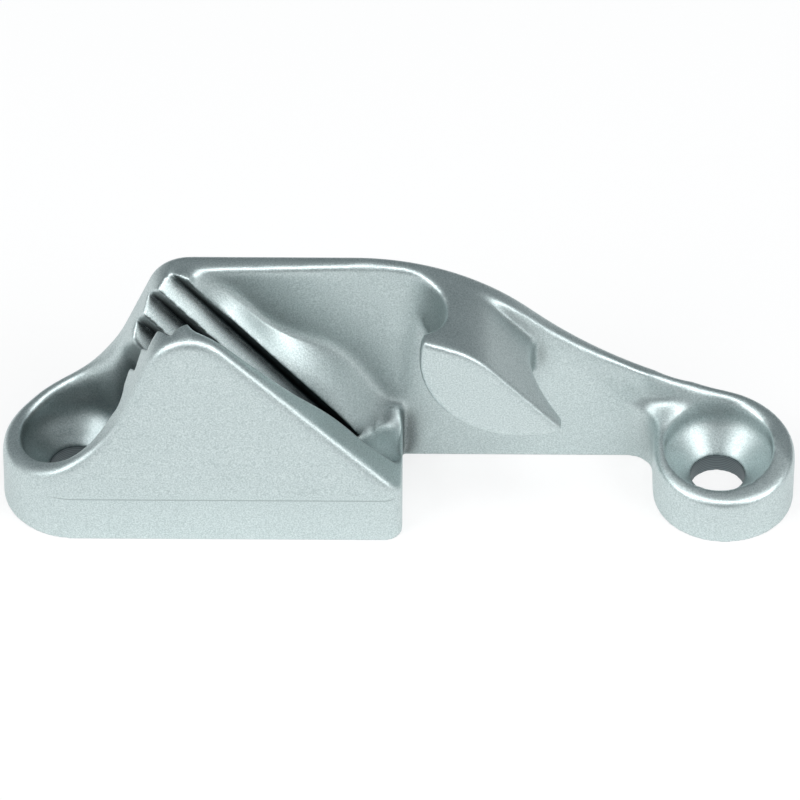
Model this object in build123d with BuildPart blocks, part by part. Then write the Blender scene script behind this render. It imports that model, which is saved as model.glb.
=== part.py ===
from build123d import *
from math import cos, radians, sin, sqrt, tan
import os

os.makedirs("parts", exist_ok=True)

# Jam cleat for 3 to 6 mm rope, one aluminium casting held by two countersunk screws.
# Millimetres. X runs along the rope, Y from the open side to the back wall, Z up from the deck.
# The origin is the middle of the base. In the sketches below, x is measured from the left end,
# depth from the front face and z from the base.

# Overall size
length = 82.0
width = 15.1
height = 26.4

# Base outline: a block with a round left end, a thin back wall and a round right lug
block_length = 41.4
block_corner_radius = 1.8
wall_thickness = 2.4
lug_diameter = 14.6
lug_neck_radius = 2.5

# Top line of the back wall: its corners, and how far from each corner the rounding starts.
# Along the long fall to the right lug, the two roundings take these shares of its length.
left_end_z = 7.2
flank_foot_x = 9.3
flank_foot_z = 8.8
flank_foot_reach = 9.1
flank_top_x = 16.5
flank_top_reach = 3.0
crown_end_x = 46.7
crown_share = 0.43
lug_sweep_inset = 17.6
lug_sweep_z = 10.5
lug_sweep_share = 0.53
right_end_z = 6.2

# Top of the right lug, which rises from the front to the wall
right_rim_front_z = 5.4
right_rim_back_z = 7.4

# Rounding of the outer rims
rim_radius = 0.8

# Face of the wall beside the horn, which leans back above a slanted line
lean_start_x = 53.5
lean_start_z = 18.9
lean_slope = 47.7
lean_angle = 14.0
lean_depth = 0.65

# Screw holes
left_hole_x = 7.6
right_hole_inset = 7.9
screw_line_depth = 7.8
screw_diameter = 5.6
countersink_angle = 90.0
head_diameter = 11.2
left_seat_z = 3.1
right_seat_z = 2.3

# Front jaw
ridge_x = 21.8
ridge_z = 26.1
ridge_radius = 4.8
ridge_slope = 45.0
face_step_z = 5.7
face_lean = 5.0

# Rope channel between the jaws, a V that stands on a narrow floor
channel_depth = 8.1
channel_top_gap = 6.1
channel_bottom_gap = 0.6
channel_floor_z = 5.9

# Teeth: slanted V grooves in both jaws, side by side, and the wide entry beside the last tooth.
# The first groove is placed by where its root would meet the top of the wall.
tooth_angle = 48.0
tooth_pitch = 3.2
groove_flank_angle = 45.0
groove_count = 3
first_groove_x = 17.15
tooth_clearance = 0.4
entry_groove_depth = 2.8

# Rope space beside the teeth, ending in a half-round slot at the horn
rope_space_x = 19.6
pocket_front_depth = 3.4
pocket_back_depth = 12.4
pocket_draft = 1.5
slot_x = 41.2
slot_depth = 8.6
slot_radius = 4.6

# Ramps in the rope space: x, height at the pocket's back, height in the middle of the channel
ramp_reach = 6.0
ramp_stations = (
    (19.6, 27.5, 22.8),
    (24.0, 22.8, 19.3),
    (28.5, 18.2, 14.9),
    (31.0, 16.9, 11.9),
    (34.0, 15.3, 8.8),
    (37.0, 11.9, 4.0),
    (40.5, 7.6, 3.4),
    (48.0, 4.0, 3.0),
)

# Horn that keeps the rope down; its centre lies this drop below the top of the wall
horn_x = 53.5
horn_drop = 3.6
horn_radius = 10.5
horn_front_depth = 2.6
horn_tip_x = 57.9
horn_slope = 48.5
horn_top_radius = 10.0
horn_notch_x = 60.4
horn_notch_depth = 10.0
horn_notch_radius = 6.0

# How far a cutting shape reaches past the metal
past = 2.0

left = -length / 2
front = -width / 2
top_z = height + past
end_radius = width / 2
wall_face = width - wall_thickness
lug_radius = lug_diameter / 2
lug_centre_x = length - lug_radius
right_hole_x = length - right_hole_inset
horn_z = height - horn_drop
screw_radius = screw_diameter / 2
head_radius = head_diameter / 2


def plan(z):
    """Sketch plane at a height, with x from the left end and depth from the front."""
    return Plane(origin=(left, front, z), x_dir=(1, 0, 0), z_dir=(0, 0, 1))


def elevation(depth):
    """Upright sketch plane at a depth, with x from the left end and z up, facing front."""
    return Plane(origin=(left, front + depth, 0), x_dir=(1, 0, 0), z_dir=(0, -1, 0))


def section(x):
    """Upright sketch plane across the part, with depth from the front and z up."""
    return Plane(origin=(left + x, front, 0), x_dir=(0, 1, 0), z_dir=(1, 0, 0))


def corner_radius(before, corner, after, reach):
    """Radius of the rounding that starts at this reach from a corner of a line."""
    turn = (Vector(*corner) - Vector(*before)).get_angle(Vector(*after) - Vector(*corner))
    return reach / tan(radians(turn / 2))


lug_sweep_x = length - lug_sweep_inset
fall_length = Vector(lug_sweep_x - crown_end_x, height - lug_sweep_z).length
top_line = [
    (0, left_end_z),
    (flank_foot_x, flank_foot_z),
    (flank_top_x, height),
    (crown_end_x, height),
    (lug_sweep_x, lug_sweep_z),
    (length, right_end_z),
]
reaches = [
    flank_foot_reach,
    flank_top_reach,
    crown_share * fall_length,
    lug_sweep_share * fall_length,
]
top_radii = [
    corner_radius(*top_line[start : start + 3], reach) for start, reach in enumerate(reaches)
]

with BuildSketch(elevation(width)) as wall_side:
    # Side shape of the wall, from the round left end over the crown to the right lug
    with BuildLine():
        FilletPolyline(*top_line, radius=top_radii)
        Polyline((length, right_end_z), (length, 0), (0, 0), (0, left_end_z))
    make_face()

with BuildSketch(elevation(channel_depth)) as jaw_side:
    # Side shape of the front jaw: the wall's flank, a round ridge and a slope to the right
    flank_rise = (height - flank_foot_z) / (flank_top_x - flank_foot_x)
    ridge_fall = tan(radians(ridge_slope))
    ridge_line_z = ridge_z + ridge_fall * ridge_x
    flank_line_z = flank_foot_z - flank_rise * flank_foot_x
    corner_x = (ridge_line_z - flank_line_z) / (flank_rise + ridge_fall)
    far_x = block_length + past
    far_z = ridge_line_z - ridge_fall * far_x
    with BuildLine():
        FilletPolyline(
            (0, left_end_z),
            (flank_foot_x, flank_foot_z),
            (corner_x, flank_line_z + flank_rise * corner_x),
            (far_x, far_z),
            radius=[top_radii[0], ridge_radius],
        )
        Polyline((far_x, far_z), (far_x, -past), (0, -past), (0, left_end_z))
    make_face()

with BuildPart() as block:
    # Block with both jaws; above a faint step its front leans back
    for outline_z in (face_step_z, top_z):
        lean = (outline_z - face_step_z) * tan(radians(face_lean))
        corner_depth = lean + block_corner_radius
        with BuildSketch(plan(outline_z)):
            with BuildLine():
                Polyline((end_radius, width), (block_length, width), (block_length, corner_depth))
                RadiusArc(
                    (block_length, corner_depth),
                    (block_length - block_corner_radius, lean),
                    block_corner_radius,
                )
                Line((block_length - block_corner_radius, lean), (end_radius, lean))
                ThreePointArc(
                    (end_radius, lean),
                    (end_radius - (width - lean) / 2, (width + lean) / 2),
                    (end_radius, width),
                )
            make_face()
    loft(ruled=True)
    extrude(block.faces().sort_by(Axis.Z)[0], amount=face_step_z)
    with BuildPart(mode=Mode.INTERSECT):
        extrude(jaw_side.sketch, amount=channel_depth)
        extrude(wall_side.sketch, amount=width - channel_depth)
    back_rim = block.edges().filter_by(Axis.X).group_by(Axis.Y)[-1].sort_by(Axis.Z)[-1]
    fillet(back_rim, rim_radius)

with BuildPart() as rear:
    # Thin wall with the round lug at its right end
    with BuildSketch(plan(0)) as rear_outline:
        with Locations((block_length - wall_thickness, wall_face)):
            Rectangle(length - block_length + wall_thickness, wall_thickness, align=Align.MIN)
        with Locations((lug_centre_x, lug_radius)):
            Circle(lug_radius)
            Rectangle(lug_diameter, width - lug_radius, align=(Align.CENTER, Align.MIN))
        fillet(rear_outline.vertices().group_by(Axis.X)[-1].sort_by(Axis.Y)[-1], lug_radius)
        neck = Vector(lug_centre_x - lug_radius, wall_face)
        fillet(rear_outline.vertices().sort_by_distance(neck)[0], lug_neck_radius)
    extrude(amount=top_z)
    extrude(wall_side.sketch, amount=width, mode=Mode.INTERSECT)
    with BuildSketch(section(block_length)):
        rise = (right_rim_back_z - right_rim_front_z) / wall_face
        with BuildLine():
            Polyline(
                (-past, right_rim_front_z - rise * past),
                (wall_face, right_rim_back_z),
                (wall_face, top_z),
                (-past, top_z),
                close=True,
            )
        make_face()
    extrude(amount=length - block_length + past, mode=Mode.SUBTRACT)
    fillet(rear.edges().filter_by(GeomType.ELLIPSE).sort_by(SortBy.LENGTH)[-2:], rim_radius)

with BuildPart() as wall_lean:
    # What the leaning face takes off the wall beside the horn, above the right lug
    along = (cos(radians(lean_slope)), 0, -sin(radians(lean_slope)))
    across = (sin(radians(lean_slope)), 0, cos(radians(lean_slope)))
    start = (left + lean_start_x, front + wall_face, lean_start_z)
    with BuildSketch(Plane(origin=start, x_dir=across, z_dir=along)):
        with BuildLine():
            Polyline(
                (0, 0),
                (lean_depth / tan(radians(lean_angle)), -lean_depth),
                (height, -lean_depth),
                (height, past),
                (0, past),
                close=True,
            )
        make_face()
    extrude(amount=length, both=True)
    with BuildSketch(plan(right_rim_back_z)):
        with Locations((lean_start_x, 0)):
            Rectangle(length, width, align=Align.MIN)
    extrude(amount=height, mode=Mode.INTERSECT)

with BuildPart() as horn:
    # A round boss on the wall, flush with the wall's top line and falling to a sharp tip
    tip_z = horn_z - sqrt(horn_radius**2 - (horn_tip_x - horn_x) ** 2)
    fall = tan(radians(horn_slope))
    horn_end_x = horn_x + horn_radius
    root_depth = wall_face + wall_thickness / 2
    with BuildSketch(elevation(root_depth)) as horn_side:
        add(wall_side.sketch_local)
        with Locations((horn_x, horn_z)):
            Circle(horn_radius, mode=Mode.INTERSECT)
        with BuildLine():
            Polyline(
                (horn_tip_x - (top_z - tip_z) / fall, top_z),
                (horn_end_x, tip_z - (horn_end_x - horn_tip_x) * fall),
                (horn_end_x, top_z),
                close=True,
            )
        make_face(mode=Mode.SUBTRACT)
        fillet(horn_side.vertices().sort_by(Axis.Y)[-2], horn_top_radius)
    extrude(amount=root_depth - horn_front_depth)
    with BuildSketch(plan(0)):
        with Locations((horn_notch_x, horn_notch_depth)):
            Circle(horn_notch_radius)
    extrude(amount=top_z, mode=Mode.SUBTRACT)

with BuildPart() as rope_space:
    # Room above two ramps that rise from the middle of the channel to both jaws
    half_pocket = pocket_back_depth - channel_depth
    for station_x, back_z, middle_z in ramp_stations:
        edge_z = middle_z + (back_z - middle_z) * ramp_reach / half_pocket
        ceiling_z = max(edge_z, top_z) + past
        with BuildSketch(section(station_x)):
            with BuildLine():
                Polyline(
                    (channel_depth, middle_z),
                    (channel_depth + ramp_reach, edge_z),
                    (channel_depth + ramp_reach, ceiling_z),
                    (channel_depth - ramp_reach, ceiling_z),
                    (channel_depth - ramp_reach, edge_z),
                    close=True,
                )
            make_face()
    loft()
    with BuildPart(mode=Mode.INTERSECT):
        # Drafted pocket with a half-round end
        for outline_z in (channel_floor_z, top_z):
            inset = (height - outline_z) * tan(radians(pocket_draft))
            slot_front = slot_depth - slot_radius + inset
            slot_back = slot_depth + slot_radius - inset
            with BuildSketch(plan(outline_z)):
                with BuildLine():
                    Polyline(
                        (slot_x, slot_back),
                        (rope_space_x, pocket_back_depth - inset),
                        (rope_space_x, pocket_front_depth + inset),
                        (slot_x, slot_front),
                    )
                    ThreePointArc(
                        (slot_x, slot_front),
                        (slot_x + slot_radius - inset, slot_depth),
                        (slot_x, slot_back),
                    )
                make_face()
        loft(ruled=True)

widening = (channel_top_gap - channel_bottom_gap) / 2 / (height - channel_floor_z)

with BuildPart() as tooth_gaps:
    # Grooves and entry of the back jaw, cut square to its face and mirrored to the front jaw
    face_out = Vector(0, -1, widening).normalized()
    down_groove = Vector(cos(radians(tooth_angle)), 0, -sin(radians(tooth_angle)))
    down_groove = (down_groove - face_out * down_groove.dot(face_out)).normalized()
    flank = tan(radians(groove_flank_angle))
    groove_step = tooth_pitch / sin(radians(tooth_angle))
    groove_depth = tooth_pitch / 2 / flank
    mouth = (groove_depth + tooth_clearance) * flank
    groove = [(mouth, tooth_clearance), (0, -groove_depth), (-mouth, tooth_clearance)]
    cuts = [(first_groove_x - index * groove_step, groove) for index in range(groove_count)]
    entry_shift = (entry_groove_depth - groove_depth) * flank / sin(radians(tooth_angle))
    entry_x = first_groove_x - groove_count * groove_step - entry_shift
    entry = [
        ((entry_groove_depth + tooth_clearance) * flank, tooth_clearance),
        (0, -entry_groove_depth),
        (-height, -entry_groove_depth),
        (-height, tooth_clearance),
    ]
    cuts.append((entry_x, entry))
    for root_x, corners in cuts:
        root = Vector(left + root_x, front + channel_depth + channel_top_gap / 2, height)
        with BuildSketch(Plane(origin=root, x_dir=face_out.cross(down_groove), z_dir=down_groove)):
            with BuildLine():
                Polyline(*corners, close=True)
            make_face()
        extrude(amount=2 * height, both=True)
    with BuildPart(mode=Mode.INTERSECT):
        with BuildSketch(plan(channel_floor_z)):
            with Locations((left_hole_x, channel_depth)):
                Rectangle(block_length - left_hole_x, width, align=Align.MIN)
        extrude(amount=height)
    mirror(about=elevation(channel_depth))

with BuildPart() as jam_cleat:
    # Wall with its leaning face, then the horn and the block
    add(rear.part)
    add(wall_lean.part, mode=Mode.SUBTRACT)
    add(horn.part)
    add(block.part)

    # Rope channel from the left screw to the open end, its teeth, and the room beside them
    with BuildSketch(section(left_hole_x)):
        half_floor = channel_bottom_gap / 2
        half_top = half_floor + widening * (top_z - channel_floor_z)
        with BuildLine():
            Polyline(
                (channel_depth - half_floor, channel_floor_z),
                (channel_depth + half_floor, channel_floor_z),
                (channel_depth + half_top, top_z),
                (channel_depth - half_top, top_z),
                close=True,
            )
        make_face()
    extrude(amount=block_length - left_hole_x, mode=Mode.SUBTRACT)
    add(rope_space.part, mode=Mode.SUBTRACT)
    add(tooth_gaps.part, mode=Mode.SUBTRACT)

    # Screw holes: a straight bore, a countersink and room above it for the head
    cone_height = (head_radius - screw_radius) / tan(radians(countersink_angle / 2))
    for hole_x, seat_z in ((left_hole_x, left_seat_z), (right_hole_x, right_seat_z)):
        with BuildSketch(elevation(screw_line_depth)):
            with BuildLine():
                Polyline(
                    (hole_x, -past),
                    (hole_x + screw_radius, -past),
                    (hole_x + screw_radius, seat_z),
                    (hole_x + head_radius, seat_z + cone_height),
                    (hole_x + head_radius, top_z),
                    (hole_x, top_z),
                    close=True,
                )
            make_face()
        hole_axis = Axis((left + hole_x, front + screw_line_depth, 0), (0, 0, 1))
        revolve(axis=hole_axis, mode=Mode.SUBTRACT)

jam_cleat.part.label = "jam_cleat"
export_step(jam_cleat.part, "parts/jam_cleat.step")
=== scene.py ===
import math

import bmesh
import bpy
from mathutils import Matrix, Vector


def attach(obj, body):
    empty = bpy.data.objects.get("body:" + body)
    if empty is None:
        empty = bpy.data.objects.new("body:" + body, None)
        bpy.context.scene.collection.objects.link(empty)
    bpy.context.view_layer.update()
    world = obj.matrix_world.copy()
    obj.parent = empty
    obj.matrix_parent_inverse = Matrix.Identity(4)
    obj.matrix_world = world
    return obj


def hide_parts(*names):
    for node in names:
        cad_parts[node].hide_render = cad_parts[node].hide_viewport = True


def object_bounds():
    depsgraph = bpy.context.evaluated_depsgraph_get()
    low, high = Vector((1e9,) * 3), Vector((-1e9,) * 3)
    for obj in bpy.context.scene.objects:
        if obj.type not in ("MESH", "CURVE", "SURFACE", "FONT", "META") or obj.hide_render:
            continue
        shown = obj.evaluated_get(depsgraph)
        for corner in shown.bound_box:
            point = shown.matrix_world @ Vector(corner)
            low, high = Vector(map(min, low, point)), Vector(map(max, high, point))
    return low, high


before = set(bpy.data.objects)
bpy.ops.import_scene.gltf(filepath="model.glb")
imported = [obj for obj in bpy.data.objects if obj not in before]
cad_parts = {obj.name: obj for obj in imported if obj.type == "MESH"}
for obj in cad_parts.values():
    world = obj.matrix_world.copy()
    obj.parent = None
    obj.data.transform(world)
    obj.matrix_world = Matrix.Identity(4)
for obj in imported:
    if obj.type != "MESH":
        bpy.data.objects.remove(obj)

cad_low, cad_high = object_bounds()

# The casting. The whole cleat is poured in one piece of aluminium alloy, bead-blasted until every
# corner is soft, and clear anodised. Its skin is taken from the frame's own node, and the blasting
# wears the open rims and the ends of the screw seats more than the sheltered teeth.
skin_cell = 0.00016
weld_distance = 1e-6

shape = bmesh.new()
shape.from_mesh(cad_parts["jam_cleat"].data)
bmesh.ops.remove_doubles(shape, verts=shape.verts, dist=weld_distance)
raw_mesh = bpy.data.meshes.new("raw_casting")
shape.to_mesh(raw_mesh)
shape.free()
raw_casting = bpy.data.objects.new("raw_casting", raw_mesh)
bpy.context.scene.collection.objects.link(raw_casting)
skin = raw_casting.modifiers.new("skin", "REMESH")
skin.mode = "VOXEL"
skin.voxel_size = skin_cell
skin.use_smooth_shade = True


def finished(rough_piece, name):
    """The piece's shape with its modifiers applied, as a new object in its place."""
    bpy.context.view_layer.update()
    evaluated = rough_piece.evaluated_get(bpy.context.evaluated_depsgraph_get())
    piece = bpy.data.objects.new(name, bpy.data.meshes.new_from_object(evaluated))
    bpy.context.scene.collection.objects.link(piece)
    bpy.data.objects.remove(rough_piece)
    return piece


def wear(piece, name, passes, weight):
    """Rounds the skin in some passes, as much at each point as the weight there says."""
    least_weight = 0.01
    group = piece.vertex_groups.new(name=name)
    for vertex in piece.data.vertices:
        amount = weight(vertex.co)
        if amount > least_weight:
            group.add([vertex.index], amount, "REPLACE")
    blasting = piece.modifiers.new(name, "SMOOTH")
    blasting.factor = 0.5
    blasting.iterations = passes
    blasting.vertex_group = name


def fade(distance, reach):
    """Full at no distance and none beyond the reach."""
    return min(1.0, max(0.0, 1.0 - distance / reach))


left_end_x = -0.041
channel_y = 0.00055
teeth_slant = math.radians(48)
left_screw = Vector((-0.0334, 0.00025))
right_screw = Vector((0.0331, 0.00025))


def from_screws(point):
    """How far a point is from the nearer screw's axis."""
    return min((point.xy - left_screw).length, (point.xy - right_screw).length)


def along_jaws(point):
    """How far a point is from the left end, measured square to the teeth."""
    return (point.x - left_end_x) * math.sin(teeth_slant) + point.z * math.cos(teeth_slant)


def open_rims(point):
    """Most on the block's rims, less on the horn and lug, least at the back, base and bores."""
    block_wear, horn_wear, lug_wear, back_wear = 0.8, 0.45, 0.2, 0.16
    block_end_x = 0.0
    lug_start_x = 0.025
    back_rim_y = 0.0064
    base_edge = 0.0006
    bore_surround = 0.0036
    teeth_middle = 0.0265
    teeth_half_length = 0.0052
    channel_half_width = 0.0042
    channel_floor_z = 0.0062

    from_teeth = abs(along_jaws(point) - teeth_middle) - teeth_half_length
    among_teeth = fade(from_teeth, reach=0.0007)
    in_channel = fade(abs(point.y - channel_y) - channel_half_width, reach=0.0006)
    in_channel *= fade(channel_floor_z - point.z, reach=0.001)
    most = block_wear - (block_wear - horn_wear) * fade(block_end_x - point.x, reach=0.003)
    most -= (horn_wear - lug_wear) * fade(lug_start_x - point.x, reach=0.004)
    at_back = fade(back_rim_y - point.y, reach=0.0006)
    above_base = 1.0 - fade(point.z - base_edge, reach=0.0008)
    off_bores = 1.0 - fade(from_screws(point) - bore_surround, reach=0.0008)
    amount = most + (back_wear - most) * at_back
    return above_base * off_bores * (1.0 - among_teeth * in_channel) * amount


def run_outs(point):
    """Where the seats run out at the back into the rim, and the wall's foot into the lug."""
    head_radius = 0.0056
    seat_half_rim = 0.0008
    seat_foot_z = 0.004
    seat_back_y = 0.0035
    wall_foot = Vector((0.0278, 0.0046, 0.0078))
    wall_foot_radius = 0.0025

    at_seat = fade(abs(from_screws(point) - head_radius) - seat_half_rim, reach=0.0012)
    at_seat *= fade(seat_foot_z - point.z, reach=0.001) * fade(seat_back_y - point.y, reach=0.002)
    at_foot = fade((point - wall_foot).length - wall_foot_radius, reach=0.0015)
    return max(at_seat, at_foot)


def ramps(point):
    """The two ramps beside the teeth, which run into the jaws' faces without a crease."""
    teeth_end = 0.0325
    pocket_half_width = 0.0034
    ramp_top_z = 0.0235
    ramps_middle_x = -0.0125
    ramps_half_length = 0.009

    beside_teeth = fade(teeth_end - along_jaws(point), reach=0.0005)
    in_pocket = fade(abs(point.y - channel_y) - pocket_half_width, reach=0.0008)
    in_pocket *= fade(point.z - ramp_top_z, reach=0.001)
    on_ramps = fade(abs(point.x - ramps_middle_x) - ramps_half_length, reach=0.001)
    return beside_teeth * in_pocket * on_ramps


casting = finished(raw_casting, "worn_casting")
wear(casting, "all over", 12, lambda point: 1.0)
wear(casting, "open rims", 170, open_rims)
wear(casting, "run-outs", 240, run_outs)
wear(casting, "ramps", 450, ramps)
kept_share = 0.24
thinning = casting.modifiers.new("thinning", "DECIMATE")
thinning.ratio = kept_share
casting = finished(casting, "casting")
for vertex in casting.data.vertices:
    for axis in range(3):
        vertex.co[axis] = min(max(vertex.co[axis], cad_low[axis]), cad_high[axis])
casting.data.shade_smooth()


def linear(hex_code):
    """An sRGB hex colour as linear red, green, blue and alpha."""
    levels = [int(hex_code[i : i + 2], 16) / 255 for i in (1, 3, 5)]
    return [v / 12.92 if v <= 0.04045 else ((v + 0.055) / 1.055) ** 2.4 for v in levels] + [1.0]


def bare_material(name):
    """A new material whose node tree is still empty."""
    material = bpy.data.materials.new(name)
    material.use_nodes = True
    material.node_tree.nodes.clear()
    return material


def add_node(tree, kind, inputs=None, **settings):
    """A shader node; each input, by name or place, is a value or the socket that feeds it."""
    node = tree.nodes.new(kind)
    for name, value in settings.items():
        setattr(node, name, value)
    for key, value in (inputs or {}).items():
        if isinstance(value, bpy.types.NodeSocket):
            tree.links.new(value, node.inputs[key])
        else:
            node.inputs[key].default_value = value
    return node


def share_between(tree, value, low, high, low_share=0.0, high_share=1.0):
    """Turns a value between low and high into a share, by default between none and all."""
    ends = {"From Min": low, "From Max": high, "To Min": low_share, "To Max": high_share}
    return add_node(tree, "ShaderNodeMapRange", {"Value": value, **ends}).outputs["Result"]


def blend(tree, share, first_colour, second_colour):
    """Goes from the first colour to the second as the share grows."""
    ends = {0: share, 6: first_colour, 7: second_colour}
    return add_node(tree, "ShaderNodeMix", ends, data_type="RGBA").outputs[2]


# Bead-blasted aluminium, clear anodised. The blasting leaves dimples about as wide as the beads,
# so the metal reflects only in a broad soft way and sparkles a little. The bottoms of the grooves
# are painted near black, and the deep channel and the seats are painted greyer: painted shade, set
# by how little of its surroundings each point sees. The mould's parting line is faint on the
# front.
dimple = 0.00016
dimple_depth = 0.00004
cloud = 0.006
noise_low, noise_high = 0.3, 0.7
groove_shade_reach = 0.003
channel_shade_reach = 0.012
mould_line_z = 0.0057
front_y = -0.0074

blasted = bare_material("bead_blasted_aluminium")
tree = blasted.node_tree
place = add_node(tree, "ShaderNodeTexCoord").outputs["Object"]
grain = add_node(
    tree,
    "ShaderNodeTexNoise",
    {"Vector": place, "Scale": 1 / dimple, "Detail": 2.0, "Roughness": 0.6},
).outputs["Fac"]
clouds = add_node(
    tree, "ShaderNodeTexNoise", {"Vector": place, "Scale": 1 / cloud, "Detail": 3.0}
).outputs["Fac"]
grain_share = share_between(tree, grain, noise_low, noise_high)
grain_colour = blend(tree, grain_share, linear("#b3c1c1"), linear("#dce6e6"))

axes = add_node(tree, "ShaderNodeSeparateXYZ", {"Vector": place})
above_line = add_node(
    tree, "ShaderNodeMath", {0: axes.outputs["Z"], 1: mould_line_z}, operation="SUBTRACT"
)
from_line = add_node(tree, "ShaderNodeMath", {0: above_line.outputs[0]}, operation="ABSOLUTE")
off_line = share_between(tree, from_line.outputs[0], 0.00002, 0.0001)
off_front = share_between(tree, axes.outputs["Y"], front_y, front_y + 0.0004)
unlined = add_node(tree, "ShaderNodeMath", {0: off_line, 1: off_front}, operation="MAXIMUM")
lined_colour = blend(tree, unlined.outputs[0], linear("#9fadae"), grain_colour)


def openness(tree, reach):
    """How much of its surroundings a point sees free of its own piece, as far as the reach."""
    sky = add_node(
        tree, "ShaderNodeAmbientOcclusion", {"Distance": reach}, samples=8, only_local=True
    )
    return sky.outputs["AO"]


# Painted shade: the deep channel, the seats and the bores are painted greyer where the piece hides
# their surroundings.
channel_unshaded = share_between(tree, openness(tree, channel_shade_reach), 0.25, 0.64)
channel_shaded_colour = blend(tree, channel_unshaded, linear("#5a6669"), lined_colour)
# Painted shade: the bottoms of the grooves are painted near black.
groove_unshaded = share_between(tree, openness(tree, groove_shade_reach), 0.6, 0.9)
colour_with_painted_shade = blend(tree, groove_unshaded, linear("#14181a"), channel_shaded_colour)
roughness = share_between(tree, clouds, noise_low, noise_high, 0.42, 0.48)
dimples = add_node(
    tree, "ShaderNodeBump", {"Height": grain, "Strength": 0.5, "Distance": dimple_depth}
)
metal = add_node(
    tree,
    "ShaderNodeBsdfPrincipled",
    {
        "Base Color": colour_with_painted_shade,
        "Metallic": 1.0,
        "Roughness": roughness,
        "Normal": dimples.outputs["Normal"],
    },
)
add_node(tree, "ShaderNodeOutputMaterial", {"Surface": metal.outputs["BSDF"]})

# Drilled aluminium in the two screw holes. They are drilled after the blasting, so their walls are
# bare metal with fine rings from the drill, painted darker than the blasted skin around them as
# painted shade inside the holes. Real rings are about 0.1 mm apart, and these are drawn coarser so
# that the eye can find them.
drill_ring = 0.00025
ring_depth = 0.00002
bands_per_unit = 20 / math.tau

drilled = bare_material("drilled_aluminium")
tree = drilled.node_tree
place = add_node(tree, "ShaderNodeTexCoord").outputs["Object"]
ring_scale = 1 / (drill_ring * bands_per_unit)
rings = add_node(
    tree,
    "ShaderNodeTexWave",
    {"Vector": place, "Scale": ring_scale, "Distortion": 0.6},
    bands_direction="Z",
).outputs["Fac"]
ridges = add_node(
    tree, "ShaderNodeBump", {"Height": rings, "Strength": 0.5, "Distance": ring_depth}
)
# The hole walls are painted dark grey in rings, as painted shade inside the holes.
metal = add_node(
    tree,
    "ShaderNodeBsdfPrincipled",
    {
        "Base Color": blend(tree, rings, linear("#5f696c"), linear("#808a8d")),
        "Metallic": 1.0,
        "Roughness": 0.5,
        "Normal": ridges.outputs["Normal"],
    },
)
add_node(tree, "ShaderNodeOutputMaterial", {"Surface": metal.outputs["BSDF"]})

# The holes' walls are the upright faces close to a screw's axis.
hole_reach = 0.003
upright_limit = 0.4
casting.data.materials.clear()
casting.data.materials.append(blasted)
casting.data.materials.append(drilled)
for face in casting.data.polygons:
    if from_screws(face.center) < hole_reach and abs(face.normal.z) < upright_limit:
        face.material_index = 1
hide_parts("jam_cleat")
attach(casting, "root")

# The table the cleat lies on: a white sheet, wide enough to fill the view. It is lit by the lamps
# and keeps the soft shadow under the casting, but the camera sees it nearly white, and the metal
# mirrors it brighter than the lamps alone make it.
sheet_half = 1.5
glow_to_camera = 0.75
glow_to_metal = 0.35

sheet = bmesh.new()
bmesh.ops.create_grid(sheet, x_segments=1, y_segments=1, size=sheet_half)
sheet_mesh = bpy.data.meshes.new("white_sheet")
sheet.to_mesh(sheet_mesh)
sheet.free()
white_sheet = bpy.data.objects.new("white_sheet", sheet_mesh)
bpy.context.scene.collection.objects.link(white_sheet)
paper = bare_material("white_paper")
tree = paper.node_tree
path = add_node(tree, "ShaderNodeLightPath")
seen = add_node(
    tree,
    "ShaderNodeMath",
    {0: path.outputs["Is Camera Ray"], 1: glow_to_camera},
    operation="MULTIPLY",
)
glowing = add_node(
    tree,
    "ShaderNodeMath",
    {0: path.outputs["Is Glossy Ray"], 1: glow_to_metal, 2: seen.outputs[0]},
    operation="MULTIPLY_ADD",
)
matt = add_node(tree, "ShaderNodeBsdfDiffuse", {"Color": linear("#fafafa")})
glow = add_node(tree, "ShaderNodeEmission", {"Color": linear("#ffffff"), "Strength": 1.0})
mixed = add_node(
    tree, "ShaderNodeMixShader", {0: glowing.outputs[0], 1: matt.outputs[0], 2: glow.outputs[0]}
)
add_node(tree, "ShaderNodeOutputMaterial", {"Surface": mixed.outputs[0]})
white_sheet.data.materials.append(paper)

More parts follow.
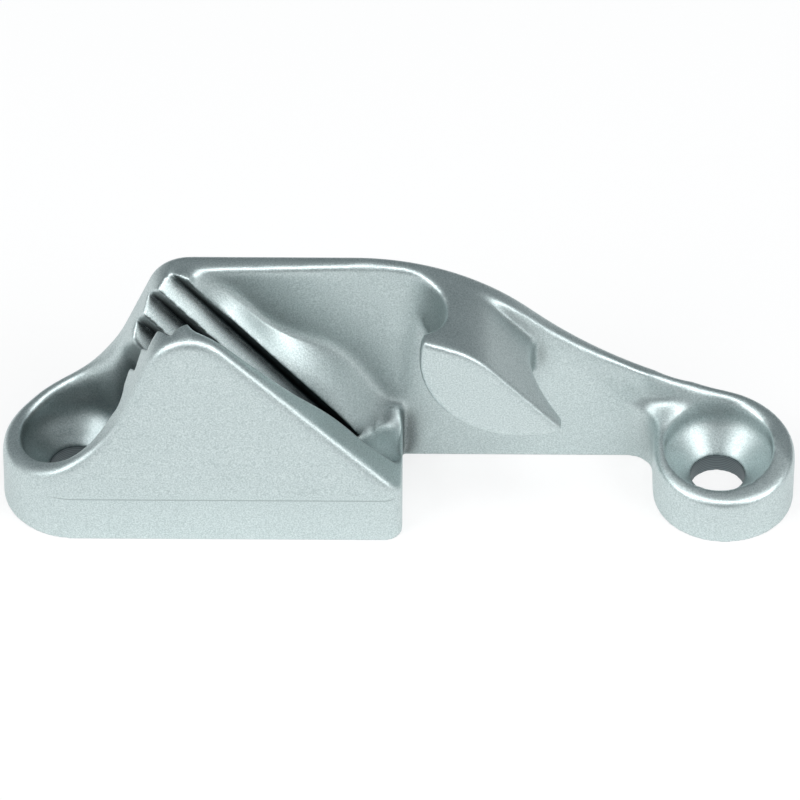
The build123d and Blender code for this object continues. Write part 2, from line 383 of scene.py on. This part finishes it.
# The light: two equal softboxes in front, one on each side, a smaller one above, and a dim grey
# room behind, so that faces turned to the viewer are light and the tops are mid grey.
room = bpy.data.worlds.new("room")
room.use_nodes = True
room.node_tree.nodes["Background"].inputs["Color"].default_value = linear("#a3acb0")
room.node_tree.nodes["Background"].inputs["Strength"].default_value = 0.5
bpy.context.scene.world = room
lamp_distance = 0.7


def softbox(name, azimuth, elevation, width, height, power):
    """A rectangular lamp aimed at the cleat; azimuth 0 is the viewer's side, 90 the right."""
    lamp = bpy.data.lights.new(name, "AREA")
    lamp.shape = "RECTANGLE"
    lamp.size = width
    lamp.size_y = height
    lamp.energy = power
    holder = bpy.data.objects.new(name, lamp)
    a, e = math.radians(azimuth), math.radians(elevation)
    towards = Vector((math.sin(a) * math.cos(e), -math.cos(a) * math.cos(e), math.sin(e)))
    holder.location = towards * lamp_distance
    holder.rotation_mode = "QUATERNION"
    holder.rotation_quaternion = towards.to_track_quat("Z", "Y")
    bpy.context.scene.collection.objects.link(holder)


softbox("left_softbox", azimuth=-58, elevation=38, width=0.35, height=0.5, power=2.5)
softbox("right_softbox", azimuth=60, elevation=38, width=0.35, height=0.5, power=2.5)
softbox("top_softbox", azimuth=0, elevation=76, width=0.5, height=0.25, power=1.8)

# The camera: a long lens square to the open side, looking down on it.
camera_elevation = 43.95
camera_roll = 0.312
camera_distance = 0.85
pixels_per_metre = 9720
image_width = 800
aim = Vector((0.00009, 0.0, 0.01294))

lens_view = bpy.data.cameras.new("camera")
camera = bpy.data.objects.new("camera", lens_view)
bpy.context.scene.collection.objects.link(camera)
lens_view.sensor_width = 36.0
lens_view.lens = lens_view.sensor_width * pixels_per_metre * camera_distance / image_width
lens_view.clip_start = 0.01
lens_view.clip_end = 10.0
turn = Matrix.Rotation(math.radians(90 - camera_elevation), 4, "X")
roll = Matrix.Rotation(math.radians(camera_roll), 4, "Z")
back_off = Matrix.Translation((0, 0, camera_distance))
camera.matrix_world = Matrix.Translation(aim) @ turn @ roll @ back_off
bpy.context.scene.camera = camera
bpy.context.scene.view_settings.view_transform = "Standard"
